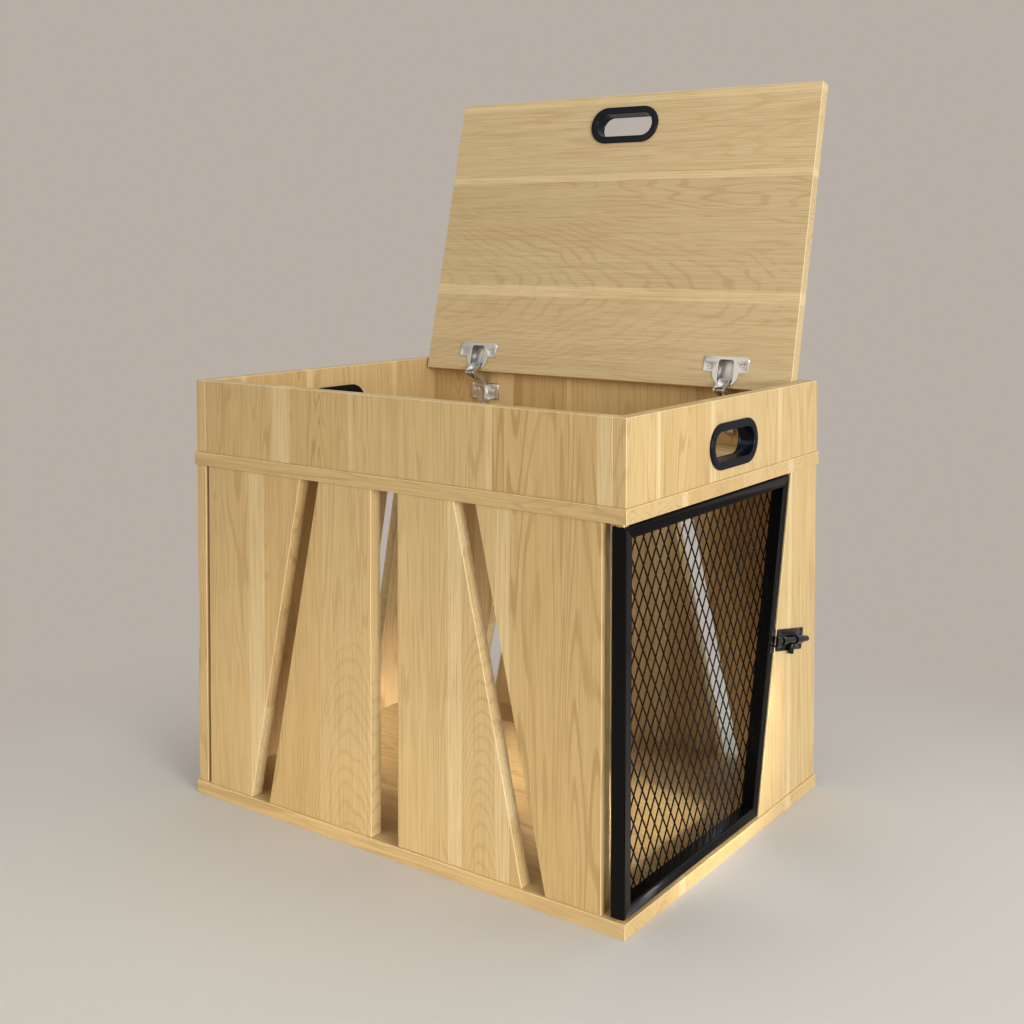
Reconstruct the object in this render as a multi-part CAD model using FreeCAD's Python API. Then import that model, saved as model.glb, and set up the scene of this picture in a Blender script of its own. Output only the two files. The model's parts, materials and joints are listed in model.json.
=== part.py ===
"""Dog crate end table: a small cabin of slanted slats with a pivoted mesh door,
under a storage tray whose hinged lid drops in flush with the tray's rim.

Millimetres. X runs along the long slatted side, the door is on the +X end,
the lid is hinged along the +Y wall, +Z is up. The origin is the middle of the
base board's underside. Everything is drawn as it stands in use: door shut,
lid thrown open against its stop, slide bolt drawn back out of its keeper.
"""
import FreeCAD, Part
import math
import os

V = FreeCAD.Vector

# ---- boards -----------------------------------------------------------------
LENGTH = 600.0             # base and deck, along X
DEPTH = 422.0              # base and deck, along Y
BOARD = 15.0               # every board
CABIN_HEIGHT = 374.0       # clear height between base and deck
TRAY_HEIGHT = 84.0         # tray walls above the deck
SETBACK = 2.0              # walls stand this far inside the base and deck edges
ARRIS = 0.8                # eased edges of the boards

# ---- slatted long sides -----------------------------------------------------
CENTRE_GAP = 38.0          # upright gap in the middle of a slatted side
SLANT_GAP = 28.5           # slanted gaps, measured level
INNER_HEAD_LEFT = 77.0     # the two middle slats, at the deck
INNER_HEAD_RIGHT = 75.5
INNER_FOOT_LEFT = 157.0    # the two middle slats, at the base
INNER_FOOT_RIGHT = 162.5
SLAT_TO_END_PANEL = 5.0    # first slat to the closed end's inner face
SLAT_TO_DOOR = 10.5        # last slat to the back of the door's stile

# ---- end panels -------------------------------------------------------------
PANEL_HEAD = 68.0          # narrow end panel, at the deck
PANEL_FOOT = 143.0         # narrow end panel, at the base

# ---- door -------------------------------------------------------------------
FRAME_FACE = 12.0          # frame tube, seen from the front
FRAME_DEPTH = 16.0         # frame tube, front to back
FRAME_WALL = 1.2
FRAME_RADIUS = 1.6         # rounded long edges of the tube
DOOR_END_GAP = 2.5         # above and below the door
DOOR_EDGE_GAP = 3.5        # door to narrow panel, measured level
PIVOT_RADIUS = 3.0
PIVOT_GRIP = 14.0          # pivot pin inside the stile
PIVOT_REACH = 9.0          # pivot pin inside the base or deck
BUSH_WALL = 2.0
BUSH_DEPTH = 11.0
WASHER_RADIUS = 6.5
WASHER_PLAY = 0.2
RUNNING = 0.05             # radial clearance of a pin in its bore

# ---- expanded mesh ----------------------------------------------------------
MESH_THICK = 1.4
MESH_FROM_BACK = 0.6       # mesh in front of the frame's back face
MESH_PITCH_Y = 21.6        # one diamond, level
MESH_PITCH_Z = 38.4        # one diamond, upright
MESH_STRAND = 3.0          # level width left between two diamonds
MESH_BORDER = 1.0          # solid strip along the frame
MESH_SLIVER = 9.0          # openings smaller than this area stay closed

# ---- hand grips -------------------------------------------------------------
GRIP_OPEN_LENGTH = 86.0
GRIP_OPEN_HEIGHT = 31.0
GRIP_BAND = 9.0            # flange showing around the opening
GRIP_FLANGE = 2.6
GRIP_ROUND = 1.1
GRIP_SLEEVE = 1.4
GRIP_NEST = 0.1            # between the two nested sleeves, and to the board
GRIP_TIP_GAP = 1.0         # sleeve tip to the other half's flange
GRIP_ABOVE_DECK = 35.0
GRIP_FROM_LID_EDGE = 42.0

# ---- lid and its concealed hinges -------------------------------------------
LID_END_GAP = 3.0          # lid to the tray's end boards
LID_FRONT_GAP = 2.0
LID_REAR_GAP = 5.0
LID_RECESS = 1.0           # closed lid below the tray's rim
LID_OPEN_ANGLE = 102.7     # from closed to the open stop
LID_OPEN_SLACK = 0.05      # open, the rear lower arris is forward by a board and this
LID_OPEN_RISE = 3.5        # and this far up
HINGE_FROM_MIDDLE = 192.0  # hinge centre lines, left and right of the middle
CUP_RADIUS = 17.5
CUP_TAB = 2.0              # wood left between the cup's bore and the lid's rear edge
CUP_DEPTH = 12.3
CUP_WALL = 0.8
CUP_LIP = 0.8              # ring around the cup's mouth
CUP_MOUTH_LENGTH = 21.0
CUP_MOUTH_FROM = 5.6       # the mouth, measured from the lid's rear edge
CUP_MOUTH_TO = 34.5
CUP_PLATE = 1.2
WING_LENGTH = 62.0
WING_FROM = 19.3           # wings, measured from the lid's rear edge
WING_TO = 38.0
WING_SCREW_SPACING = 48.0
WING_SCREW_FROM_EDGE = 25.5
LINK_PIN_BACK = 7.2        # outer link's cup pin, from the lid's rear edge
LINK_PIN_DEEP = 5.1        # and inside the lid's underside
SPARE_PIN_BACK = 7.2       # inner link's cup pin
SPARE_PIN_DEEP = 10.2
LINK_OFFSET = 19.83        # outer link's arm pin from the middle of its cup pin's throw
INNER_OFFSET = 16.0        # the same for the inner link
LINK_BOW = 5.5             # the outer link bows this far round the cup's wall
LINK_BOW_SHARE = 0.87      # where along the link the bow is widest
LINK_PLATE = 1.1           # half the outer link's thickness
LINK_START = 1.45          # its plate begins this many tip radii from the tip's pin
LINK_EYE = 2.3
LINK_CHEEK = 1.2           # thickness of the cheeks beside the arm's tip
LINK_CHEEK_HALF = 2.6      # half their height
LINK_CHEEK_SHARE = 0.55    # how far they run towards the bow
INNER_LINK_LENGTH = 6.8
INNER_LINK_AIM = 115.0     # degrees above level, lid open
INNER_LINK_HALF = 3.4      # half its width
PIN_RADIUS = 1.0
ARM_HALF = 6.4             # half the arm's width
ARM_WALL = 1.2
ARM_TIP = 3.0
ARM_CHEEK = 3.5            # half the arm's side height
ARM_FOOT_DROP = 70.0       # arm's lower end, below the tray's rim
ARM_STAND_OFF = 5.6        # arm's middle line from the rear board
ARM_BEND_RISE = 1.5        # the arm bends this far above the mounting plate
PLATE_HALF = 24.0
PLATE_TOP_DROP = 31.0      # mounting plate, below the tray's rim
PLATE_HEIGHT = 22.5
PLATE_THICK = 2.0
PLATE_SCREW_OUT = 13.2
PLATE_SCREW_SPACING = 11.0

# ---- slide bolt -------------------------------------------------------------
LATCH_HEIGHT = 196.5       # middle of the latch plate above the floor
LATCH_LENGTH = 68.0
LATCH_WIDTH = 24.5
LATCH_FROM_EDGE = 1.0      # latch plate to the panel's slanted edge
SHEET = 1.2                # pressed steel of latch plate and keeper
BOLT_RADIUS = 3.5
BOLT_LIFT = 0.3            # bolt clear of the latch plate
BOLT_TAIL = 4.5            # drawn back, the bolt stands out behind the plate
BOLT_SLACK = 0.25
KNOB_FROM_FRONT = 31.0     # knob, from the latch plate's front end, drawn back
KNOB_STEM = 2.0
KNOB_RADIUS = 3.5          # round knob hanging below the bolt
KNOB_GAP = 0.2             # between the knob and the bolt's side
KNOB_TIP = 15.3            # below the bolt's axis
KNOB_ROUND = 1.1
FRONT_GUIDE = 8.0          # lengths of the two guides
REAR_GUIDE = 16.0
FRONT_GUIDE_INSET = 4.0    # from the plate's ends
REAR_GUIDE_INSET = 12.0
LATCH_SCREW_INSET = 7.0
KEEPER_SLACK = 1.1         # around the bolt in the keeper
KEEPER_LENGTH = 11.0

# ---- fasteners --------------------------------------------------------------
SCREW_RADIUS = 2.5
SCREW_HEAD = 4.6
SCREW_HEAD_DEEP = 3.0
SCREW_LENGTH = 40.0
SMALL_SCREW = 1.6
SMALL_HEAD = 3.2
SMALL_HEAD_DEEP = 1.1
SMALL_LENGTH = 11.0
DOWEL_RADIUS = 4.0
DOWEL_LENGTH = 30.0
DOWEL_IN_DECK = 10.0
HOLE_SLACK = 0.05
CROSS_WIDTH = 0.7          # cross recess in the screw heads
CROSS_DEEP = 1.0

# ---- levels and planes that follow from them --------------------------------
BASE_TOP = BOARD
DECK_UNDER = BASE_TOP + CABIN_HEIGHT
DECK_TOP = DECK_UNDER + BOARD
RIM = DECK_TOP + TRAY_HEIGHT
WALL_X = LENGTH / 2 - SETBACK
WALL_Y = DEPTH / 2 - SETBACK
INNER_X = WALL_X - BOARD
INNER_Y = WALL_Y - BOARD
LID_LENGTH = 2 * (INNER_X - LID_END_GAP)
LID_DEPTH = 2 * INNER_Y - LID_FRONT_GAP - LID_REAR_GAP
PANEL_SLANT = (PANEL_FOOT - PANEL_HEAD) / CABIN_HEIGHT
PIVOT_X = WALL_X - FRAME_DEPTH / 2
PIVOT_Y = -WALL_Y + FRAME_FACE / 2
CUP_CENTRE = CUP_TAB + CUP_RADIUS
BOLT_AXIS = SHEET + BOLT_LIFT + BOLT_RADIUS
KEEPER_HOLE = BOLT_RADIUS + KEEPER_SLACK


# ---- small shape tools ------------------------------------------------------
def block(x0, x1, y0, y1, z0, z1):
    return Part.makeBox(x1 - x0, y1 - y0, z1 - z0, V(x0, y0, z0))


def polygon_prism(corners, travel):
    face = Part.Face(Part.makePolygon(corners + [corners[0]]))
    return face.extrude(travel)


def prism_along_x(outline, x0, x1):
    return polygon_prism([V(x0, y, z) for y, z in outline], V(x1 - x0, 0, 0))


def prism_along_y(outline, y0, y1):
    return polygon_prism([V(x, y0, z) for x, z in outline], V(0, y1 - y0, 0))


def bar(start, end, radius):
    axis = end - start
    return Part.makeCylinder(radius, axis.Length, start, axis)


def fused(shapes):
    return shapes[0].multiFuse(shapes[1:]).removeSplitter()


def eased(shape, radius=ARRIS):
    return shape.makeFillet(radius, shape.Edges)


def rounded_corners(shape, radius, axis):
    """Round only the edges that run along the given axis."""
    edges = []
    for edge in shape.Edges:
        run = edge.Vertexes[-1].Point - edge.Vertexes[0].Point
        if run.Length > 1e-6 and abs(run.normalize().dot(axis)) > 0.999:
            edges.append(edge)
    return shape.makeFillet(radius, edges)


def placed(shape, about_x, move):
    moved = shape.copy()
    turn = FreeCAD.Rotation(V(1, 0, 0), about_x)
    moved.Placement = FreeCAD.Placement(move, turn).multiply(moved.Placement)
    return moved


def group(shapes):
    return Part.makeCompound(shapes)


# ---- screws and dowels ------------------------------------------------------
def screw_cutter(head_at, inward, radius, head, head_deep, length):
    """The space a countersunk screw takes, head face first."""
    shank = Part.makeCylinder(radius + HOLE_SLACK, length, head_at, inward)
    sink = Part.makeCone(head + HOLE_SLACK, radius + HOLE_SLACK, head_deep, head_at, inward)
    return shank.fuse(sink)


def screw(head_at, inward, radius, head, head_deep, length):
    shank = Part.makeCylinder(radius, length - HOLE_SLACK, head_at, inward)
    body = shank.fuse(Part.makeCone(head, radius, head_deep, head_at, inward))
    side = V(0, 0, 1).cross(inward)
    if side.Length < 0.1:
        side = V(1, 0, 0)
    side.normalize()
    for across in (side, side.cross(inward)):
        along = across.cross(inward)
        corner = head_at - across * (head * 0.55) - along * (CROSS_WIDTH / 2)
        slot = Part.makePlane(head * 1.1, CROSS_WIDTH, corner, inward, across)
        body = body.cut(slot.extrude(inward * min(CROSS_DEEP, head_deep)))
    return body


def wood_screw(head_at, inward):
    return screw(head_at, inward, SCREW_RADIUS, SCREW_HEAD, SCREW_HEAD_DEEP, SCREW_LENGTH)


def wood_screw_hole(head_at, inward):
    return screw_cutter(head_at, inward, SCREW_RADIUS, SCREW_HEAD, SCREW_HEAD_DEEP, SCREW_LENGTH)


def small_screw(head_at, inward):
    return screw(head_at, inward, SMALL_SCREW, SMALL_HEAD, SMALL_HEAD_DEEP, SMALL_LENGTH)


def small_screw_hole(head_at, inward):
    return screw_cutter(head_at, inward, SMALL_SCREW, SMALL_HEAD, SMALL_HEAD_DEEP, SMALL_LENGTH)


def dowel(middle, axis):
    half = DOWEL_LENGTH / 2
    return bar(middle - axis * half, middle + axis * half, DOWEL_RADIUS)


def dowel_hole(middle, axis):
    half = DOWEL_LENGTH / 2 + HOLE_SLACK
    return bar(middle - axis * half, middle + axis * half, DOWEL_RADIUS + HOLE_SLACK)


# ---- upright boards between base and deck -----------------------------------
def slat_edges():
    """Left and right X of each slat, first at the head, then at the foot."""
    start = -INNER_X + SLAT_TO_END_PANEL
    stop = WALL_X - FRAME_DEPTH - SLAT_TO_DOOR
    middle = (start + stop) / 2
    gap_left = middle - CENTRE_GAP / 2
    gap_right = middle + CENTRE_GAP / 2
    rows = []
    for left, right in ((INNER_HEAD_LEFT, INNER_HEAD_RIGHT), (INNER_FOOT_LEFT, INNER_FOOT_RIGHT)):
        rows.append([
            (start, gap_left - left - SLANT_GAP),
            (gap_left - left, gap_left),
            (gap_right, gap_right + right),
            (gap_right + right + SLANT_GAP, stop),
        ])
    return list(zip(rows[0], rows[1]))


def end_panel_edges():
    """Front and rear Y of the narrow and the wide end panel, head then foot."""
    narrow = ((WALL_Y - PANEL_HEAD, WALL_Y), (WALL_Y - PANEL_FOOT, WALL_Y))
    front = -WALL_Y
    wide = (
        (front, WALL_Y - PANEL_HEAD - SLANT_GAP),
        (front, WALL_Y - PANEL_FOOT - SLANT_GAP),
    )
    return narrow, wide


def upright_outline(head, foot):
    return [(foot[0], BASE_TOP), (foot[1], BASE_TOP), (head[1], DECK_UNDER), (head[0], DECK_UNDER)]


def quarter_points(edge):
    width = edge[1] - edge[0]
    return (edge[0] + width / 4, edge[1] - width / 4)


def uprights():
    """Every upright board, with the screw points at its head and foot."""
    boards = {}
    for side, y0 in (("front", -WALL_Y), ("rear", INNER_Y)):
        for number, (head, foot) in enumerate(slat_edges(), start=1):
            shape = prism_along_y(upright_outline(head, foot), y0, y0 + BOARD)
            middle = y0 + BOARD / 2
            heads = [V(x, middle, DECK_TOP) for x in quarter_points(head)]
            feet = [V(x, middle, 0) for x in quarter_points(foot)]
            boards["%s_slat_%d" % (side, number)] = (shape, heads, feet)
    narrow, wide = end_panel_edges()
    ends = (
        ("right_end_panel", narrow, INNER_X),
        ("left_end_rear_panel", narrow, -WALL_X),
        ("left_end_front_panel", wide, -WALL_X),
    )
    for name, (head, foot), x0 in ends:
        shape = prism_along_x(upright_outline(head, foot), x0, x0 + BOARD)
        middle = x0 + BOARD / 2
        front_in, rear_in = inside_corners(name)
        heads = [V(middle, y, DECK_TOP) for y in quarter_points(head)]
        feet = [V(middle, y, 0) for y in quarter_points((foot[0] + front_in, foot[1] - rear_in))]
        boards[name] = (shape, heads, feet)
    return boards


def inside_corners(name):
    """Room that an end panel's foot screws leave for the slats' own screws."""
    front = BOARD if name == "left_end_front_panel" else 0.0
    return front, BOARD


# ---- base, deck and tray ----------------------------------------------------
def tray_dowel_points():
    """Middles of the upright dowels that hold the tray walls on the deck."""
    level = DECK_TOP - DOWEL_IN_DECK + DOWEL_LENGTH / 2
    along = LENGTH / 3
    across = DEPTH / 7
    middle_x = WALL_X - BOARD / 2
    middle_y = WALL_Y - BOARD / 2
    points = {}
    for name, y in (("tray_front_board", -middle_y), ("tray_rear_board", middle_y)):
        points[name] = [V(x, y, level) for x in (-along, 0, along)]
    for name, x in (("tray_left_board", -middle_x), ("tray_right_board", middle_x)):
        points[name] = [V(x, y, level) for y in (-across, across)]
    return points


def corner_dowel_points():
    """Middles of the level dowels in the tray's corners, by long board."""
    points = {}
    for name, y in (("tray_front_board", -1), ("tray_rear_board", 1)):
        row = []
        middle_x = INNER_X + BOARD / 2 - DOWEL_LENGTH / 2 + 3
        for x in (-middle_x, middle_x):
            for share in (0.3, 0.7):
                row.append(V(x, y * (WALL_Y - BOARD / 2), DECK_TOP + share * TRAY_HEIGHT))
        points[name] = row
    return points


def grip_centre_right():
    return V(WALL_X, 0, DECK_TOP + GRIP_ABOVE_DECK)


def grip_centre_left():
    return V(-WALL_X, 0, DECK_TOP + GRIP_ABOVE_DECK)


def tray_boards():
    level = (DECK_TOP, RIM)
    shapes = {
        "tray_left_board": block(-WALL_X, -INNER_X, -WALL_Y, WALL_Y, *level),
        "tray_right_board": block(INNER_X, WALL_X, -WALL_Y, WALL_Y, *level),
        "tray_front_board": block(-INNER_X, INNER_X, -WALL_Y, -INNER_Y, *level),
        "tray_rear_board": block(-INNER_X, INNER_X, INNER_Y, WALL_Y, *level),
    }
    shapes = {name: eased(shape) for name, shape in shapes.items()}
    for name, points in tray_dowel_points().items():
        for point in points:
            shapes[name] = shapes[name].cut(dowel_hole(point, V(0, 0, 1)))
    for name, points in corner_dowel_points().items():
        for point in points:
            end = "tray_left_board" if point.x < 0 else "tray_right_board"
            hole = dowel_hole(point, V(1, 0, 0))
            shapes[name] = shapes[name].cut(hole)
            shapes[end] = shapes[end].cut(hole)
    hole = oval_prism(grip_hole_offset(), 0, BOARD)
    shapes["tray_right_board"] = shapes["tray_right_board"].cut(on_right_wall(hole))
    shapes["tray_left_board"] = shapes["tray_left_board"].cut(on_left_wall(hole))
    for point in plate_screw_points():
        shapes["tray_rear_board"] = shapes["tray_rear_board"].cut(small_screw_hole(point, V(0, 1, 0)))
    return shapes


def base_and_deck(boards):
    base = eased(block(-LENGTH / 2, LENGTH / 2, -DEPTH / 2, DEPTH / 2, 0, BASE_TOP))
    deck = eased(block(-LENGTH / 2, LENGTH / 2, -DEPTH / 2, DEPTH / 2, DECK_UNDER, DECK_TOP))
    for shape, heads, feet in boards.values():
        for point in feet:
            base = base.cut(wood_screw_hole(point, V(0, 0, 1)))
        for point in heads:
            deck = deck.cut(wood_screw_hole(point, V(0, 0, -1)))
    for points in tray_dowel_points().values():
        for point in points:
            deck = deck.cut(dowel_hole(point, V(0, 0, 1)))
    base = base.cut(bush_hole(BASE_TOP, -1))
    deck = deck.cut(bush_hole(DECK_UNDER, 1))
    return base, deck


# ---- hand grips: two nested halves each -------------------------------------
def oval_prism(offset, z0, z1):
    """A slot-shaped prism: the grip's opening grown by offset, along local Z."""
    radius = GRIP_OPEN_HEIGHT / 2 + offset
    half = (GRIP_OPEN_LENGTH - GRIP_OPEN_HEIGHT) / 2
    arcs = []
    for sign in (1, -1):
        arcs.append(Part.Arc(
            V(sign * half, -sign * radius, z0),
            V(sign * (half + radius), 0, z0),
            V(sign * half, sign * radius, z0),
        ).toShape())
    top = Part.makeLine(V(half, radius, z0), V(-half, radius, z0))
    low = Part.makeLine(V(-half, -radius, z0), V(half, -radius, z0))
    face = Part.Face(Part.Wire([arcs[0], top, arcs[1], low]))
    return face.extrude(V(0, 0, z1 - z0))


def grip_hole_offset():
    return 2 * (GRIP_SLEEVE + GRIP_NEST) + GRIP_NEST


def grip_half(sleeve_offset, sleeve_to):
    """A flange standing on local Z = 0, with a sleeve reaching down into the board."""
    flange = oval_prism(GRIP_BAND, 0, GRIP_FLANGE)
    rim = [edge for edge in flange.Edges if edge.BoundBox.ZMin > GRIP_FLANGE - 1e-6]
    flange = flange.makeFillet(GRIP_ROUND, rim).cut(oval_prism(0, 0, GRIP_FLANGE))
    mouth = [edge for edge in flange.Edges
             if edge.BoundBox.ZMin > GRIP_FLANGE - 1e-6 and inside_opening(edge)]
    flange = flange.makeFillet(GRIP_ROUND, mouth)
    if sleeve_offset > 0:
        flange = flange.cut(oval_prism(0, 0, 0.01))
    sleeve = oval_prism(sleeve_offset + GRIP_SLEEVE, -sleeve_to, 0)
    sleeve = sleeve.cut(oval_prism(sleeve_offset, -sleeve_to, 0))
    return fused([flange, sleeve])


def inside_opening(edge):
    reach = max(abs(edge.BoundBox.YMax), abs(edge.BoundBox.YMin))
    return reach < GRIP_OPEN_HEIGHT / 2 + GRIP_BAND / 2


def grip_halves():
    depth = BOARD - GRIP_TIP_GAP
    narrow = grip_half(0.0, depth)
    wide = grip_half(GRIP_SLEEVE + GRIP_NEST, depth)
    return narrow, wide


def on_wall(shape, outward, at):
    """Local X goes along the wall, local Y up, and local Z = 0 .. BOARD goes inwards."""
    along = V(0, 1, 0) if outward.x > 0 else V(0, -1, 0)
    turn = FreeCAD.Rotation(along, V(0, 0, 1), outward, "ZXY")
    moved = shape.copy()
    moved.Placement = FreeCAD.Placement(at, turn).multiply(moved.Placement)
    return moved


def on_right_wall(shape):
    return on_wall(shape, V(1, 0, 0), grip_centre_right() - V(BOARD, 0, 0))


def on_left_wall(shape):
    return on_wall(shape, V(-1, 0, 0), grip_centre_left() + V(BOARD, 0, 0))


def wall_grips():
    """Outer halves face the room, inner halves face the tray."""
    narrow, wide = grip_halves()
    inner = turned_over(wide)
    shapes = {}
    for side, put in (("right", on_right_wall), ("left", on_left_wall)):
        shapes["%s_grip_outer" % side] = put(lifted(narrow, BOARD))
        shapes["%s_grip_inner" % side] = put(inner)
    return shapes


def lifted(shape, height):
    moved = shape.copy()
    moved.translate(V(0, 0, height))
    return moved


def turned_over(shape):
    moved = shape.copy()
    moved.rotate(V(0, 0, 0), V(1, 0, 0), 180)
    return moved


# ---- lid: drawn flat, then set at its angle ---------------------------------
# Local X along the lid, local Y from its rear edge, local Z = 0 on the
# underside and negative into the board.
def rear_arris_closed():
    return V(0, INNER_Y - LID_REAR_GAP, RIM - LID_RECESS - BOARD)


def rear_arris_open():
    return rear_arris_closed() + V(0, -BOARD - LID_OPEN_SLACK, LID_OPEN_RISE)


def lid_set_open(shape):
    return placed(shape, 180 - LID_OPEN_ANGLE, rear_arris_open())


def lid_point_open(local):
    turn = FreeCAD.Rotation(V(1, 0, 0), 180 - LID_OPEN_ANGLE)
    return rear_arris_open() + turn.multVec(local)


def lid_point_closed(local):
    turn = FreeCAD.Rotation(V(1, 0, 0), 180)
    return rear_arris_closed() + turn.multVec(local)


def hinge_places():
    return (("left", -HINGE_FROM_MIDDLE), ("right", HINGE_FROM_MIDDLE))


def wing_screw_points(x):
    half = WING_SCREW_SPACING / 2
    return [V(x + side * half, WING_SCREW_FROM_EDGE, CUP_PLATE) for side in (-1, 1)]


def lid_board():
    board = eased(block(-LID_LENGTH / 2, LID_LENGTH / 2, 0, LID_DEPTH, -BOARD, 0))
    grip = oval_prism(grip_hole_offset(), -BOARD, 0)
    grip.translate(V(0, LID_DEPTH - GRIP_FROM_LID_EDGE, 0))
    board = board.cut(grip)
    for _, x in hinge_places():
        top = V(x, CUP_CENTRE, 0)
        board = board.cut(Part.makeCylinder(CUP_RADIUS + HOLE_SLACK, CUP_DEPTH, top, V(0, 0, -1)))
        for point in wing_screw_points(x):
            board = board.cut(small_screw_hole(point, V(0, 0, -1)))
    return lid_set_open(board)


def lid_grips():
    narrow, wide = grip_halves()
    middle = V(0, LID_DEPTH - GRIP_FROM_LID_EDGE, 0)
    under = narrow.copy()
    under.translate(middle)
    upper = lifted(turned_over(wide), -BOARD)
    upper.translate(middle)
    return {"lid_grip_under": lid_set_open(under), "lid_grip_upper": lid_set_open(upper)}


# ---- concealed hinge --------------------------------------------------------
def cup_pin_local():
    return V(0, LINK_PIN_BACK, -LINK_PIN_DEEP)


def spare_pin_local():
    return V(0, SPARE_PIN_BACK, -SPARE_PIN_DEEP)


def even_pivot(local, offset):
    """A fixed pivot as far from a point of the lid with the lid shut as open."""
    shut = lid_point_closed(local)
    opened = lid_point_open(local)
    throw = opened - shut
    square = V(0, throw.z, -throw.y).normalize()
    if square.z > 0:
        square = -square
    return (shut + opened) / 2 + square * offset


def arm_pin():
    return even_pivot(cup_pin_local(), LINK_OFFSET)


def inner_pin():
    return even_pivot(spare_pin_local(), INNER_OFFSET)


def strap(points, half_thick, x0, x1):
    """A bent plate of even thickness along points in the YZ plane."""
    pieces = []
    for start, end in zip(points, points[1:]):
        along = (end - start).normalize()
        side = V(0, -along.z, along.y) * half_thick
        corners = [start + side, end + side, end - side, start - side]
        outline = [(corner.y, corner.z) for corner in corners]
        pieces.append(prism_along_x(outline, x0, x1))
    for point in points:
        pieces.append(bar(V(x0, point.y, point.z), V(x1, point.y, point.z), half_thick))
    return fused(pieces)


def across(point, x, half, radius):
    """A bar along X through a point of the YZ plane."""
    return bar(V(x - half, point.y, point.z), V(x + half, point.y, point.z), radius)


def hinge_cup(x):
    """Cup, mouth ring and screw wings, in the lid's own frame."""
    centre = V(x, CUP_CENTRE, 0)
    down = V(0, 0, -1)
    pot = Part.makeCylinder(CUP_RADIUS, CUP_DEPTH - HOLE_SLACK, centre, down)
    inside = Part.makeCylinder(CUP_RADIUS - CUP_WALL, CUP_DEPTH - CUP_WALL, centre, down)
    bearing = inside.common(fused([
        block(x + side * 9.9 - 1.9, x + side * 9.9 + 1.9, 0, SPARE_PIN_BACK + 3,
              -CUP_DEPTH + CUP_WALL, -LINK_PIN_DEEP + 2.4) for side in (-1, 1)]))
    wings = block(x - WING_LENGTH / 2, x + WING_LENGTH / 2, WING_FROM, WING_TO, 0, CUP_PLATE)
    wings = rounded_corners(wings, 3.0, V(0, 0, 1))
    ring = Part.makeCylinder(CUP_RADIUS + CUP_LIP, CUP_PLATE, centre)
    cup = fused([pot.cut(inside), bearing, wings, ring])
    half = CUP_MOUTH_LENGTH / 2
    mouth = block(x - half, x + half, CUP_MOUTH_FROM, CUP_MOUTH_TO, -1, CUP_PLATE + 1)
    mouth = rounded_corners(mouth, 4.0, V(0, 0, 1))
    throat = Part.makeCylinder(CUP_RADIUS - CUP_WALL, 4, V(x, CUP_CENTRE, -1))
    cup = cup.cut(mouth.common(throat))
    for local in (cup_pin_local(), spare_pin_local()):
        bore = across(local, x, CUP_RADIUS, PIN_RADIUS + 0.02)
        cup = cup.cut(bore.common(inside))
    for point in wing_screw_points(x):
        cup = cup.cut(small_screw_hole(point, V(0, 0, -1)))
    return lid_set_open(cup)


def cup_pins():
    pins = []
    for _, x in hinge_places():
        for local in (cup_pin_local(), spare_pin_local()):
            pin = across(local, x, 11.0, PIN_RADIUS).common(cup_inside(x))
            pins.append(lid_set_open(pin))
    return group(pins)


def cup_inside(x):
    top = V(x, CUP_CENTRE, 0)
    return Part.makeCylinder(CUP_RADIUS - CUP_WALL - 0.02, CUP_DEPTH, top, V(0, 0, -1))


def outer_link(x):
    """Bowed plate from the arm's tip into the cup, with a cheek each side of the tip."""
    tip = arm_pin()
    cup = lid_point_open(cup_pin_local())
    along = (cup - tip).normalize()
    square = V(0, -along.z, along.y)
    reach = (cup - tip).Length
    bow = tip + along * (LINK_BOW_SHARE * reach) + square * LINK_BOW
    start = tip + (bow - tip).normalize() * (LINK_START * (ARM_TIP + LINK_PLATE))
    half = ARM_HALF + RUNNING + LINK_CHEEK
    plate = strap([start, bow], LINK_PLATE, x - half, x + half)
    hook = strap([bow, cup], LINK_PLATE, x - ARM_HALF, x + ARM_HALF)
    eye = across(cup, x, ARM_HALF, LINK_EYE)
    pieces = [plate, hook, eye]
    for side in (-1, 1):
        faces = sorted((x + side * half, x + side * (half - LINK_CHEEK)))
        cheek_end = tip + (bow - tip) * LINK_CHEEK_SHARE
        pieces.append(strap([tip, cheek_end], LINK_CHEEK_HALF, *faces))
    link = fused(pieces)
    link = link.cut(across(cup, x, half + 1, PIN_RADIUS + RUNNING))
    return link.cut(across(tip, x, half + 1, PIN_RADIUS + RUNNING))


def inner_link(x):
    """Short link between the arm's cheeks, stopping at the cup's mouth."""
    pivot = inner_pin()
    aim = math.radians(INNER_LINK_AIM)
    end = pivot + V(0, math.cos(aim), math.sin(aim)) * INNER_LINK_LENGTH
    link = fused([
        strap([pivot, end], LINK_PLATE, x - INNER_LINK_HALF, x + INNER_LINK_HALF),
        across(pivot, x, INNER_LINK_HALF, LINK_EYE),
    ])
    return link.cut(across(pivot, x, INNER_LINK_HALF + 1, PIN_RADIUS + RUNNING))


def arm_line():
    tip = arm_pin()
    stand = INNER_Y - ARM_STAND_OFF
    return [
        tip,
        V(0, inner_pin().y + 1.5, inner_pin().z - 1.0),
        V(0, stand, RIM - PLATE_TOP_DROP + ARM_BEND_RISE),
        V(0, stand, RIM - ARM_FOOT_DROP + ARM_CHEEK),
    ]


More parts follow.
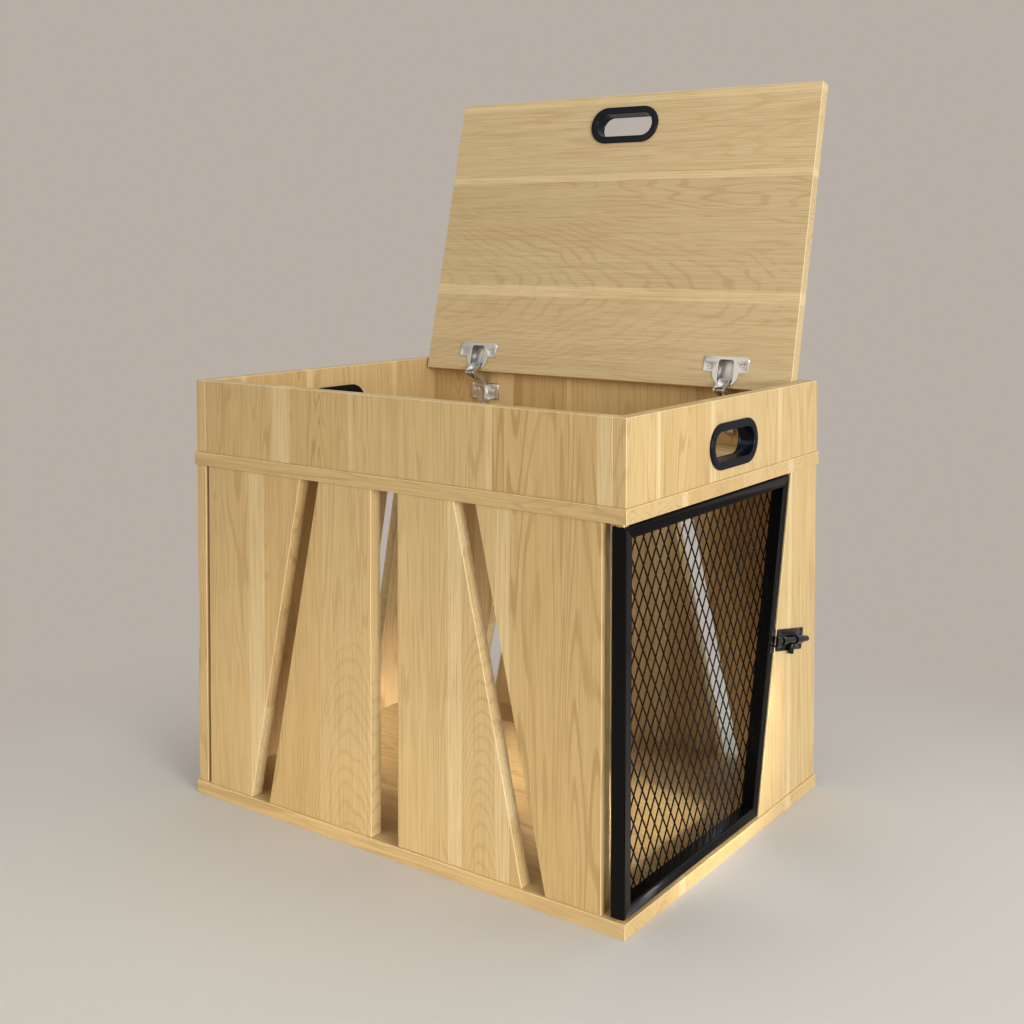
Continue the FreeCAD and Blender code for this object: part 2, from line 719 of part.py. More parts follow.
def hinge_arm(x):
    """A channel with its web to the front, open towards the rear board."""
    line = arm_line()
    solid = strap(line[1:], ARM_CHEEK, x - ARM_HALF, x + ARM_HALF)
    nose = strap(line[:2], ARM_TIP, x - ARM_HALF, x + ARM_HALF)
    core_line = [point + V(0, ARM_WALL + 0.8, 0) for point in line[1:]]
    core_line[-1] = core_line[-1] - V(0, 0, ARM_CHEEK + 2)
    inner = ARM_HALF - ARM_WALL
    core = strap(core_line, ARM_CHEEK, x - inner, x + inner)
    throat = strap([line[0] + V(0, -5, 2), line[1]], ARM_CHEEK, x - inner, x + inner)
    arm = fused([solid, nose]).cut(core).cut(throat)
    for point in (arm_pin(), inner_pin()):
        arm = arm.cut(across(point, x, ARM_HALF + 1, PIN_RADIUS))
    for point in arm_screw_points(x):
        arm = arm.cut(bar(point - V(0, 6, 0), point + V(0, 6, 0), SCREW_RADIUS + 0.3))
    return arm


def arm_pins():
    pins = []
    outer_half = ARM_HALF + RUNNING + LINK_CHEEK
    for _, x in hinge_places():
        pins.append(across(arm_pin(), x, outer_half, PIN_RADIUS))
        pins.append(across(inner_pin(), x, ARM_HALF, PIN_RADIUS))
    return group(pins)


def plate_levels():
    top = RIM - PLATE_TOP_DROP
    return top - PLATE_HEIGHT, top


def plate_screw_points():
    low, top = plate_levels()
    middle = (low + top) / 2
    points = []
    for _, x in hinge_places():
        for side in (-1, 1):
            for step in (-1, 1):
                points.append(V(x + side * PLATE_SCREW_OUT, INNER_Y - PLATE_THICK,
                                middle + step * PLATE_SCREW_SPACING / 2))
    return points


def arm_screw_points(x):
    """Fixing and setting screws, on the arm's web."""
    front = INNER_Y - ARM_STAND_OFF - ARM_CHEEK
    low, top = plate_levels()
    return [V(x, front, top - 6.0), V(x, front, low - 6.0)]


def mounting_plate(x):
    """Winged plate on the rear board, with a block that the arm slides over."""
    low, top = plate_levels()
    wings = block(x - PLATE_HALF, x + PLATE_HALF, INNER_Y - PLATE_THICK, INNER_Y, low, top)
    wings = rounded_corners(wings, 2.5, V(0, 1, 0))
    inner = ARM_HALF - ARM_WALL - 0.2
    front = INNER_Y - ARM_STAND_OFF - ARM_CHEEK + ARM_WALL + 1.0
    rail = block(x - inner, x + inner, front, INNER_Y, low - 12, top - 3)
    plate = fused([wings, rail])
    for point in plate_screw_points():
        plate = plate.cut(small_screw_hole(point, V(0, 1, 0)))
    for point in arm_screw_points(x):
        plate = plate.cut(bar(point, point + V(0, 9, 0), SCREW_RADIUS + HOLE_SLACK))
    return plate


def arm_screws():
    screws = []
    for _, x in hinge_places():
        for point in arm_screw_points(x):
            body = bar(point + V(0, 0.3, 0), point + V(0, 8.5, 0), SCREW_RADIUS)
            head = bar(point - V(0, 1.6, 0), point, SCREW_HEAD * 0.8)
            neck = bar(point, point + V(0, 0.3, 0), SCREW_RADIUS)
            made = fused([body, head, neck])
            for flat in (block(x - 3, x + 3, -1, 0.8, -CROSS_WIDTH / 2, CROSS_WIDTH / 2),
                         block(x - CROSS_WIDTH / 2, x + CROSS_WIDTH / 2, -1, 0.8, -3, 3)):
                flat.translate(V(0, point.y - 1.6, point.z))
                made = made.cut(flat)
            screws.append(made)
    return group(screws)


# ---- door -------------------------------------------------------------------
def panel_edge_y(level):
    """Front edge of the narrow panel at a height."""
    return WALL_Y - PANEL_FOOT + PANEL_SLANT * (level - BASE_TOP)


def door_outline(inset=0.0):
    """Corners of the door in the YZ plane, drawn in by inset on every side."""
    low = BASE_TOP + DOOR_END_GAP + inset
    top = DECK_UNDER - DOOR_END_GAP - inset
    front = -WALL_Y + inset
    level_inset = inset * math.sqrt(1 + PANEL_SLANT ** 2)
    slanted = [panel_edge_y(z) - DOOR_EDGE_GAP - level_inset for z in (low, top)]
    return [(front, low), (slanted[0], low), (slanted[1], top), (front, top)]


def frame_member(first, second):
    """One mitred tube between two neighbouring corners of the door."""
    outer = door_outline()
    inner = door_outline(FRAME_FACE)
    start = V(0, *outer[first])
    end = V(0, *outer[second])
    along = (end - start).normalize()
    inward = V(0, -along.z, along.y)
    tube = square_tube(start - along * FRAME_FACE, end + along * FRAME_FACE, inward)
    corners = [start, end, V(0, *inner[second]), V(0, *inner[first])]
    begin_cut = corners[3] - corners[0]
    end_cut = corners[2] - corners[1]
    outline = [
        corners[0] - begin_cut,
        corners[1] - end_cut,
        corners[2] + end_cut,
        corners[3] + begin_cut,
    ]
    mitre = prism_along_x([(corner.y, corner.z) for corner in outline], 0, LENGTH)
    return tube.common(mitre)


def square_tube(start, end, inward):
    back = WALL_X - FRAME_DEPTH
    shell = polygon_prism([
        start + V(back, 0, 0), end + V(back, 0, 0),
        end + inward * FRAME_FACE + V(back, 0, 0), start + inward * FRAME_FACE + V(back, 0, 0),
    ], V(FRAME_DEPTH, 0, 0))
    shell = rounded_corners(shell, FRAME_RADIUS, (end - start).normalize())
    near = inward * FRAME_WALL
    far = inward * (FRAME_FACE - FRAME_WALL)
    deep = V(back + FRAME_WALL, 0, 0)
    hollow = polygon_prism([
        start + near + deep, end + near + deep,
        end + far + deep, start + far + deep,
    ], V(FRAME_DEPTH - 2 * FRAME_WALL, 0, 0))
    return shell.cut(hollow)


def door_frame():
    members = {
        "door_bottom_rail": frame_member(0, 1),
        "door_latch_stile": frame_member(1, 2),
        "door_top_rail": frame_member(2, 3),
        "door_hinge_stile": frame_member(3, 0),
    }
    for pin in pivot_pin_shapes(RUNNING / 5):
        for name in ("door_hinge_stile", "door_bottom_rail", "door_top_rail"):
            members[name] = members[name].cut(pin)
    for point in keeper_screw_points():
        members["door_latch_stile"] = members["door_latch_stile"].cut(
            latch_placed(keeper_screw_hole(point)))
    return members


def clipped(polygon, boundary):
    """The part of a convex polygon that lies inside a convex boundary."""
    result = polygon
    for (y0, z0), (y1, z1) in zip(boundary, boundary[1:] + boundary[:1]):
        kept = []
        for point, after in zip(result, result[1:] + result[:1]):
            side = (y1 - y0) * (point[1] - z0) - (z1 - z0) * (point[0] - y0)
            next_side = (y1 - y0) * (after[1] - z0) - (z1 - z0) * (after[0] - y0)
            if side >= 0:
                kept.append(point)
            if side * next_side < 0:
                share = side / (side - next_side)
                kept.append(tuple(a + share * (b - a) for a, b in zip(point, after)))
        result = kept
        if len(result) < 3:
            return []
    return result


def area(polygon):
    return abs(sum(a[0] * b[1] - b[0] * a[1] for a, b in zip(polygon, polygon[1:] + polygon[:1]))) / 2


def mesh_openings():
    """Diamonds in staggered columns, cut off along the frame."""
    inside = door_outline(FRAME_FACE + MESH_BORDER)
    half_y = (MESH_PITCH_Y - MESH_STRAND) / 2
    half_z = half_y * MESH_PITCH_Z / MESH_PITCH_Y
    front, low = inside[0]
    columns = int((inside[2][0] - front) / (MESH_PITCH_Y / 2)) + 2
    rows = int((inside[2][1] - low) / MESH_PITCH_Z) + 2
    openings = []
    for column in range(columns):
        y = front + column * MESH_PITCH_Y / 2
        for row in range(rows):
            z = low + (row + (column % 2) / 2) * MESH_PITCH_Z
            diamond = [(y, z - half_z), (y + half_y, z), (y, z + half_z), (y - half_y, z)]
            piece = clipped(diamond, inside)
            if piece and area(piece) > MESH_SLIVER:
                openings.append(piece)
    return openings


def door_mesh():
    x0 = WALL_X - FRAME_DEPTH + MESH_FROM_BACK
    wires = [wire_at(x0, door_outline(FRAME_FACE))]
    openings = mesh_openings()
    for opening in openings:
        wires.append(wire_at(x0, opening))
    print("mesh openings", len(openings))
    sheet = Part.Face(wires[0]).cut(Part.makeCompound([Part.Face(wire) for wire in wires[1:]]))
    return sheet.Faces[0].extrude(V(MESH_THICK, 0, 0))


def wire_at(x, outline):
    points = [V(x, y, z) for y, z in outline]
    return Part.makePolygon(points + [points[0]])


def pivot_pin_shapes(extra=0.0):
    low = BASE_TOP + DOOR_END_GAP
    top = DECK_UNDER - DOOR_END_GAP
    below = BASE_TOP - PIVOT_REACH
    above = DECK_UNDER + PIVOT_REACH
    spans = ((below, low + PIVOT_GRIP), (top - PIVOT_GRIP, above))
    return [bar(V(PIVOT_X, PIVOT_Y, a), V(PIVOT_X, PIVOT_Y, b), PIVOT_RADIUS + extra) for a, b in spans]


def bush_hole(face, direction):
    radius = PIVOT_RADIUS + RUNNING + BUSH_WALL + HOLE_SLACK
    start = V(PIVOT_X, PIVOT_Y, face)
    return bar(start, start + V(0, 0, direction * (BUSH_DEPTH + HOLE_SLACK)), radius)


def pivot_bushes():
    bushes = []
    for face, direction in ((BASE_TOP, -1), (DECK_UNDER, 1)):
        start = V(PIVOT_X, PIVOT_Y, face)
        end = start + V(0, 0, direction * BUSH_DEPTH)
        body = bar(start, end, PIVOT_RADIUS + RUNNING + BUSH_WALL)
        reach = V(0, 0, direction * (PIVOT_REACH + 0.5))
        bushes.append(body.cut(bar(start, start + reach, PIVOT_RADIUS + RUNNING)))
    return group(bushes)


def pivot_washers():
    washers = []
    thick = DOOR_END_GAP - WASHER_PLAY
    for low in (BASE_TOP, DECK_UNDER - thick):
        start = V(PIVOT_X, PIVOT_Y, low)
        end = start + V(0, 0, thick)
        washers.append(bar(start, end, WASHER_RADIUS).cut(bar(start, end, PIVOT_RADIUS + RUNNING)))
    return group(washers)


# ---- slide bolt: drawn level, then tilted square to the slanted edge --------
# Local Y runs along the bolt away from the door, local Z across it, local X out
# of the panel. Local origin: the latch plate's front end, on the bolt's line.
def latch_placed(shape):
    tilt = -math.degrees(math.atan(PANEL_SLANT))
    run = LATCH_FROM_EDGE + LATCH_LENGTH / 2
    across_slant = math.cos(math.atan(PANEL_SLANT))
    drop = math.sin(math.atan(PANEL_SLANT))
    start_level = LATCH_HEIGHT + LATCH_LENGTH / 2 * drop
    edge_level = start_level + LATCH_FROM_EDGE * drop
    start_y = panel_edge_y(edge_level) + LATCH_FROM_EDGE * across_slant
    return placed(shape, tilt, V(WALL_X, start_y, start_level))


def guide(y0, y1):
    """A pressed strap over the bolt."""
    inner = BOLT_RADIUS + BOLT_SLACK
    outer = inner + SHEET
    solid = bar(V(BOLT_AXIS, y0, 0), V(BOLT_AXIS, y1, 0), outer)
    solid = solid.fuse(block(SHEET / 2, BOLT_AXIS, y0, y1, -outer, outer))
    hollow = bar(V(BOLT_AXIS, y0, 0), V(BOLT_AXIS, y1, 0), inner)
    hollow = hollow.fuse(block(SHEET, BOLT_AXIS, y0, y1, -inner, inner))
    return solid.cut(hollow)


def guide_spans():
    front = FRONT_GUIDE_INSET
    rear = LATCH_LENGTH - REAR_GUIDE_INSET
    return (front, front + FRONT_GUIDE), (rear - REAR_GUIDE, rear)


def latch_screw_points():
    points = []
    for y in (LATCH_SCREW_INSET, LATCH_LENGTH - LATCH_SCREW_INSET):
        for side in (-1, 1):
            points.append(V(SHEET, y, side * (LATCH_WIDTH / 2 - 3.6)))
    return points


def keeper_screw_points():
    y = keeper_middle()
    return [V(SHEET, y, side * (KEEPER_HOLE + SHEET + 3.6)) for side in (-1, 1)]


def keeper_middle():
    gap = DOOR_EDGE_GAP * math.cos(math.atan(PANEL_SLANT))
    return -LATCH_FROM_EDGE - gap - FRAME_FACE / 2


def plate_screw(point):
    return screw(point, V(-1, 0, 0), SMALL_SCREW, SMALL_HEAD * 0.9, SMALL_HEAD_DEEP, SMALL_LENGTH)


def plate_screw_hole(point):
    return screw_cutter(point, V(-1, 0, 0), SMALL_SCREW, SMALL_HEAD * 0.9, SMALL_HEAD_DEEP, SMALL_LENGTH)


def keeper_screw(point):
    return screw(point, V(-1, 0, 0), SMALL_SCREW, SMALL_HEAD * 0.9, SMALL_HEAD_DEEP, 7.0)


def keeper_screw_hole(point):
    return screw_cutter(point, V(-1, 0, 0), SMALL_SCREW, SMALL_HEAD * 0.9, SMALL_HEAD_DEEP, 7.0)


def latch_plate():
    plate = block(0, SHEET, 0, LATCH_LENGTH, -LATCH_WIDTH / 2, LATCH_WIDTH / 2)
    plate = rounded_corners(plate, 1.5, V(1, 0, 0))
    plate = fused([plate] + [guide(*span) for span in guide_spans()])
    for point in latch_screw_points():
        plate = plate.cut(plate_screw_hole(point))
    return latch_placed(plate)


def latch_bolt():
    body = bar(V(BOLT_AXIS, 0, 0), V(BOLT_AXIS, LATCH_LENGTH + BOLT_TAIL, 0), BOLT_RADIUS)
    ends = [edge for edge in body.Edges if edge.BoundBox.YLength < 1e-6]
    body = body.makeFillet(1.2, ends)
    return latch_placed(body.cut(knob_stem(HOLE_SLACK)))


def knob_stem(extra):
    """Stem of the knob, from the bolt's axis down into the knob."""
    start = V(BOLT_AXIS, KNOB_FROM_FRONT, 0)
    return bar(start, start - V(0, 0, BOLT_RADIUS + KNOB_GAP + KNOB_ROUND), KNOB_STEM + extra)


def latch_knob():
    axis = V(BOLT_AXIS, KNOB_FROM_FRONT, 0)
    knob = bar(axis - V(0, 0, BOLT_RADIUS + KNOB_GAP), axis - V(0, 0, KNOB_TIP), KNOB_RADIUS)
    ends = [edge for edge in knob.Edges if edge.BoundBox.ZLength < 1e-6]
    return latch_placed(fused([knob.makeFillet(KNOB_ROUND, ends), knob_stem(0)]))


def latch_screws():
    return group([latch_placed(plate_screw(point)) for point in latch_screw_points()])


def keeper():
    """A square staple on the door's slanted stile."""
    y0 = keeper_middle() - KEEPER_LENGTH / 2
    y1 = keeper_middle() + KEEPER_LENGTH / 2
    outer = KEEPER_HOLE + SHEET
    top = BOLT_AXIS + BOLT_RADIUS + BOLT_SLACK * 3
    foot = outer + 7.2
    base = rounded_corners(block(0, SHEET, y0, y1, -foot, foot), 1.5, V(1, 0, 0))
    staple = block(SHEET / 2, top + SHEET, y0, y1, -outer, outer)
    staple = rounded_corners(staple, 1.5, V(0, 1, 0))
    hole = block(SHEET, top, y0, y1, -KEEPER_HOLE, KEEPER_HOLE)
    made = fused([base, staple]).cut(hole)
    for point in keeper_screw_points():
        made = made.cut(keeper_screw_hole(point))
    return latch_placed(made)


def keeper_screws():
    return group([latch_placed(keeper_screw(point)) for point in keeper_screw_points()])


# ---- everything together ----------------------------------------------------
def carcass():
    boards = uprights()
    shapes = {}
    base_screws = []
    deck_screws = []
    for name, (shape, heads, feet) in boards.items():
        shape = eased(shape)
        for point in feet:
            shape = shape.cut(wood_screw_hole(point, V(0, 0, 1)))
            base_screws.append(wood_screw(point, V(0, 0, 1)))
        for point in heads:
            shape = shape.cut(wood_screw_hole(point, V(0, 0, -1)))
            deck_screws.append(wood_screw(point, V(0, 0, -1)))
        shapes[name] = shape
    for point in latch_screw_points():
        hole = latch_placed(plate_screw_hole(point))
        shapes["right_end_panel"] = shapes["right_end_panel"].cut(hole)
    shapes["base_board"], shapes["deck_board"] = base_and_deck(boards)
    shapes.update(tray_boards())
    shapes["base_screws"] = group(base_screws)
    shapes["deck_screws"] = group(deck_screws)
    shapes["tray_dowels"] = group(
        [dowel(point, V(0, 0, 1)) for row in tray_dowel_points().values() for point in row])
    shapes["corner_dowels"] = group(
        [dowel(point, V(1, 0, 0)) for row in corner_dowel_points().values() for point in row])
    shapes.update(wall_grips())
    return shapes


def lid():
    shapes = {"lid_board": lid_board()}
    shapes.update(lid_grips())
    screws = []
    for side, x in hinge_places():
        shapes["%s_hinge_cup" % side] = hinge_cup(x)
        screws += [lid_set_open(small_screw(point, V(0, 0, -1))) for point in wing_screw_points(x)]
    shapes["cup_screws"] = group(screws)
    shapes["cup_pins"] = cup_pins()
    return shapes


def hinge_parts():
    shapes = {}
    for side, x in hinge_places():
        shapes["%s_outer_link" % side] = outer_link(x)
        shapes["%s_inner_link" % side] = inner_link(x)
        shapes["%s_hinge_arm" % side] = hinge_arm(x)
        shapes["%s_mounting_plate" % side] = mounting_plate(x)
    shapes["arm_pins"] = arm_pins()
    shapes["arm_screws"] = arm_screws()
    shapes["plate_screws"] = group([small_screw(point, V(0, 1, 0)) for point in plate_screw_points()])
    return shapes


def door():
    shapes = door_frame()
    shapes["door_mesh"] = door_mesh()
    shapes["door_pivot_pins"] = group(pivot_pin_shapes())
    shapes["pivot_bushes"] = pivot_bushes()
    shapes["pivot_washers"] = pivot_washers()
    shapes["keeper"] = keeper()
    shapes["keeper_screws"] = keeper_screws()
    return shapes


def latch():
    return {
        "latch_plate": latch_plate(),
        "latch_bolt": latch_bolt(),
        "latch_knob": latch_knob(),
        "latch_screws": latch_screws(),
    }


def main():
    os.makedirs("parts", exist_ok=True)
    shapes = {}
    for make in (carcass, lid, hinge_parts, door, latch):
        shapes.update(make())
    for name, shape in shapes.items():
        shape.exportStep("parts/%s.step" % name)
    print("nodes", len(shapes))


main()
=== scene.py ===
"""Looks of the dog crate end table: oak boards, black door, nickel hinges, floor and lamps.

Metres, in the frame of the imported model: X along the slatted side, the door on +X,
the lid's hinges on +Y, +Z up.
"""
import bpy
import bmesh
import json
import math
from mathutils import Matrix, Vector


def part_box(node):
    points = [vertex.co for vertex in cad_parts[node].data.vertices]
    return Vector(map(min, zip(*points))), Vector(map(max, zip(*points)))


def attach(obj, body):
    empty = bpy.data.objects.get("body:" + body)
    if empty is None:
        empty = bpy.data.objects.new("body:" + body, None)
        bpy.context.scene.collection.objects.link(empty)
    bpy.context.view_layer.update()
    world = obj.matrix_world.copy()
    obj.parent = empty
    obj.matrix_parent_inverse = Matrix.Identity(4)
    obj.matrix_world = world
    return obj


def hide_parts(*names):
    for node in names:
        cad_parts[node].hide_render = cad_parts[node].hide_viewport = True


bl_info = {
    "name": "Dog crate end table",
    "version": (1, 0, 0),
    "blender": (4, 5, 0),
    "location": "View3D > Sidebar > Crate",
    "description": "Finishes the boards, door, hinges and bolt of a dog crate end table",
    "category": "Object",
}

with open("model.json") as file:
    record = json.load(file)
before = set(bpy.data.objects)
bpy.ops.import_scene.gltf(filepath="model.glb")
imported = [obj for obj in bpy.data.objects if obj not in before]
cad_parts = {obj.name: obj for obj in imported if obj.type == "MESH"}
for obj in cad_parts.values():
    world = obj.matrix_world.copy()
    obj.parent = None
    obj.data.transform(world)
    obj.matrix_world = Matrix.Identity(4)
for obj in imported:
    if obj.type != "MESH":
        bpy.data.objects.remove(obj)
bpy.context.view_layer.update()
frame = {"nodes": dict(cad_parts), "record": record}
NODES = frame["nodes"]

GRIPS = ["right_grip_outer", "right_grip_inner", "left_grip_outer", "left_grip_inner",
         "lid_grip_under", "lid_grip_upper"]
FRAME_TUBES = ["door_hinge_stile", "door_latch_stile", "door_top_rail", "door_bottom_rail"]
BOLT_PIECES = ["latch_plate", "latch_bolt", "latch_knob", "latch_screws", "keeper", "keeper_screws"]
HINGE_PIECES = ["%s_%s" % (side, piece) for side in ("left", "right")
                for piece in ("hinge_cup", "outer_link", "inner_link", "hinge_arm", "mounting_plate")]
HINGE_SMALL = ["arm_pins", "cup_pins", "cup_screws", "plate_screws", "arm_screws"]

X, Y, Z = (1, 0, 0), (0, 1, 0), (0, 0, 1)
LID_ALONG = (0.0, 0.21985, 0.97553)      # up the open lid, from its hinged edge
LID_THROUGH = (0.0, 0.97553, -0.21985)
LID_EDGE = 0.50211                       # the hinged edge, measured along LID_ALONG

# Where the printed planks meet: (place across the grain, width of the pale strip).
SLAT_SEAMS = ((-0.211, 0.026), (-0.098, 0.0), (0.084, 0.018), (0.145, 0.018))
TRAY_SEAMS = ((-0.172, 0.029), (-0.054, 0.006), (0.050, 0.0), (0.132, 0.009), (0.266, 0.016))
END_SEAMS = ((-0.156, 0.008), (-0.051, 0.013), (0.105, 0.009))
FLAT_SEAMS = ((-0.110, 0.012), (0.020, 0.0), (0.128, 0.014))
LID_SEAMS = ((0.105, 0.015), (0.263, 0.009), (0.370, 0.008))

# An arch in the print: its middle across the grain and tip along it, half its width and its length
# (metres), and how far it takes the place of the straight rings (0 to 1).
PLAIN_PRINT = {"middle": 0.0, "tip": 0.0, "half": 0.05, "long": 0.2, "share": 0.0}
SLAT_ARCHES = {
    "front_slat_2": {"middle": -0.052, "tip": 0.215, "half": 0.062, "long": 0.16, "share": 1.0},
    "front_slat_3": {"middle": 0.128, "tip": 0.262, "half": 0.040, "long": 0.13, "share": 1.0},
}
LID_ARCH = {"middle": 0.112, "tip": 0.24, "half": 0.105, "long": 0.30, "share": 0.9}
LID_FIGURE = 0.62                        # the lid's rings are fainter than the walls'
END_START = 0.03                         # the end panels' planks begin this far along Y

# Noise cells per metre across and along the grain, one pair for each layer of the print.
SWIRL_CELLS = (17.0, 1.3)
WOBBLE_CELLS = (22.0, 7.0)
FADING_CELLS = (30.0, 5.0)
FIBRE_CELLS = (820.0, 9.0)
DASH_CELLS = (1000.0, 18.0)
STREAK_CELLS = (75.0, 1.6)
BROAD_CELLS = (9.0, 1.1)
PLANK_SHIFT = 3.7                        # planks differ by up to this along the grain, metres
STRAIGHT_RINGS = 150.0                   # radians of ring per unit of swirl
ARCH_RINGS = 52.0                        # and per unit of the arch's rise
ARCH_WOBBLE = 0.45
ARCH_STRENGTH = 0.62                     # arches fade no further than this
EDGE_HIGHLIGHT_SHARE = 0.8                          # share of the pale tone painted on the boards' arrises as a highlight


# ---- values a user would change ---------------------------------------------
def colour(name, description, default):
    return bpy.props.FloatVectorProperty(
        name=name, description=description, subtype="COLOR", size=3, min=0, max=1, default=default)


def length(name, description, default):
    return bpy.props.FloatProperty(
        name=name, description=description, default=default, min=0, unit="LENGTH", precision=5)


def share(name, description, default):
    return bpy.props.FloatProperty(name=name, description=description, default=default, min=0)


class CrateColours(bpy.types.PropertyGroup):
    oak: colour("Oak", "Middle tone of the boards", (0.590, 0.388, 0.162))
    oak_dark: colour("Oak figure", "Darker figure in the boards", (0.40, 0.235, 0.082))
    oak_strip_and_edge_highlight: colour("Oak strip", "Pale strips between the printed planks", (0.70, 0.52, 0.27))
    # The pale tone also gives the painted highlight on the boards' arrises.
    lid_oak: colour("Lid oak", "Middle tone of the lid", (0.57, 0.415, 0.22))
    coat: colour("Powder coat", "Door frame and mesh", (0.003, 0.003, 0.003))
    plastic: colour("Grip plastic", "Hand hole grips", (0.003, 0.004, 0.008))
    nickel: colour("Nickel", "Hinges and their screws", (0.60, 0.57, 0.53))
    brass: colour("Brass", "Bushes and washers of the door's pivots", (0.60, 0.42, 0.17))
    floor_near: colour("Floor", "Floor around the table", (0.60, 0.545, 0.49))
    backdrop: colour("Backdrop", "What the floor fades into", (0.474, 0.423, 0.376))


class CrateSizes(bpy.types.PropertyGroup):
    mesh_level: length("Mesh pitch, level", "Width of one diamond of the mesh", 0.0155)
    mesh_upright: length("Mesh pitch, upright", "Height of one diamond of the mesh", 0.0275)
    strand: length("Strand", "Width of a strand of the mesh", 0.0014)
    strand_thick: length("Strand thickness", "Thickness of the mesh", 0.0010)
    fibre: share("Fibre", "Strength of the fine fibres in the oak", 0.52)
    figure: share("Figure", "Strength of the rings in the oak", 0.78)


def colours():
    return bpy.context.scene.crate_colours


def sizes():
    return bpy.context.scene.crate_sizes


# ---- material building ------------------------------------------------------
class Shader:
    """A material's node tree, with short calls for the nodes used here."""

    def __init__(self, name):
        self.material = bpy.data.materials.new(name)
        self.material.use_nodes = True
        self.tree = self.material.node_tree
        self.surface = self.tree.nodes["Principled BSDF"]

    def node(self, kind, **settings):
        made = self.tree.nodes.new(kind)
        for key, value in settings.items():
            setattr(made, key, value)
        return made

    def feed(self, socket, value):
        if isinstance(value, bpy.types.NodeSocket):
            self.tree.links.new(value, socket)
        else:
            socket.default_value = value

    def math(self, operation, first, second):
        made = self.node("ShaderNodeMath", operation=operation)
        for socket, value in zip(made.inputs, (first, second)):
            self.feed(socket, value)
        return made.outputs[0]

    def scaled(self, value, factor):
        return self.math("MULTIPLY", value, factor)

    def rest_of(self, value):
        return self.math("SUBTRACT", 1.0, value)

    def size_of(self, value):
        return self.math("ABSOLUTE", value, 0.0)

    def wave(self, value, turns):
        """A sine of the value, with this many radians per unit."""
        return self.math("SINE", self.scaled(value, turns), 0.0)

    def place(self):
        return self.node("ShaderNodeTexCoord").outputs["Object"]

    def along(self, vector, direction):
        made = self.node("ShaderNodeVectorMath", operation="DOT_PRODUCT")
        self.feed(made.inputs[0], vector)
        made.inputs[1].default_value = direction
        return made.outputs["Value"]

    def join(self, x, y, z):
        made = self.node("ShaderNodeCombineXYZ")
        for socket, value in zip(made.inputs, (x, y, z)):
            self.feed(socket, value)
        return made.outputs[0]

    def noise(self, vector, detail=3.0, roughness=0.5, distortion=0.0):
        made = self.node("ShaderNodeTexNoise")
        self.feed(made.inputs["Vector"], vector)
        made.inputs["Scale"].default_value = 1.0
        made.inputs["Detail"].default_value = detail
        made.inputs["Roughness"].default_value = roughness
        made.inputs["Distortion"].default_value = distortion
        return made.outputs["Fac"]

    def stretched(self, spot, cells, **settings):
        """Noise with its own number of cells per metre across and along the grain."""
        across, grain, through = spot
        fine, long = cells
        place = self.join(
            self.scaled(across, fine), self.scaled(grain, long), self.scaled(through, fine))
        return self.noise(place, **settings)

    def span(self, value, low, high):
        """0 below low, 1 above high, smooth between."""
        made = self.node("ShaderNodeMapRange", interpolation_type="SMOOTHSTEP")
        self.feed(made.inputs["Value"], value)
        made.inputs["From Min"].default_value = low
        made.inputs["From Max"].default_value = high
        return made.outputs["Result"]

    def mix(self, share, first, second):
        made = self.node("ShaderNodeMix", data_type="RGBA")
        self.feed(made.inputs["Factor"], share)
        sockets = [entry for entry in made.inputs if entry.type == "RGBA"]
        for socket, value in zip(sockets, (first, second)):
            self.feed(socket, full(value))
        return made.outputs[2]

    def arris(self):
        """1 on the rounded edges of a board, 0 on its flat faces; it marks where the highlight is
        painted.
        """
        normal = self.node("ShaderNodeTexCoord").outputs["Normal"]
        sizes_of = self.node("ShaderNodeVectorMath", operation="ABSOLUTE")
        self.feed(sizes_of.inputs[0], normal)
        parts = self.node("ShaderNodeSeparateXYZ")
        self.feed(parts.inputs[0], sizes_of.outputs[0])
        most = self.math("MAXIMUM", parts.outputs[0], parts.outputs[1])
        most = self.math("MAXIMUM", most, parts.outputs[2])
        return self.span(self.rest_of(most), 0.05, 0.12)


def full(value):
    if isinstance(value, bpy.types.NodeSocket):
        return value
    return (*tuple(value)[:3], 1.0)


def tinted(base, share):
    return tuple(channel * share for channel in base)


def printed_planks(shader, across, seams):
    """Plank number and pale strips from the places where the planks meet."""
    blur = 0.0008
    number = 0.0
    strip = 0.0
    for at, width in seams:
        number = shader.math("ADD", number, shader.math("GREATER_THAN", across, at))
        if width:
            off = shader.size_of(shader.math("SUBTRACT", across, at + width / 2))
            inside = shader.rest_of(shader.span(off, width / 2 - blur, width / 2 + blur))
            strip = shader.math("MAXIMUM", strip, inside)
    return number, strip


def arched_rings(shader, across, grain, wobble, arch):
    """Rings of one cathedral arch, and where it takes the place of the straight rings."""
    aside = shader.math("DIVIDE", shader.math("SUBTRACT", across, arch["middle"]), arch["half"])
    bowl = shader.math("MULTIPLY", aside, aside)
    run = shader.math("DIVIDE", shader.math("SUBTRACT", grain, arch["tip"]), arch["long"])
    rise = shader.math("ADD", shader.math("ADD", bowl, run), shader.scaled(wobble, ARCH_WOBBLE))
    below = shader.rest_of(shader.span(shader.math("ADD", run, bowl), -0.05, 0.35))
    beside = shader.rest_of(shader.span(bowl, 0.7, 1.5))
    inside = shader.math("MULTIPLY", below, beside)
    return shader.wave(rise, ARCH_RINGS), shader.scaled(inside, arch["share"])


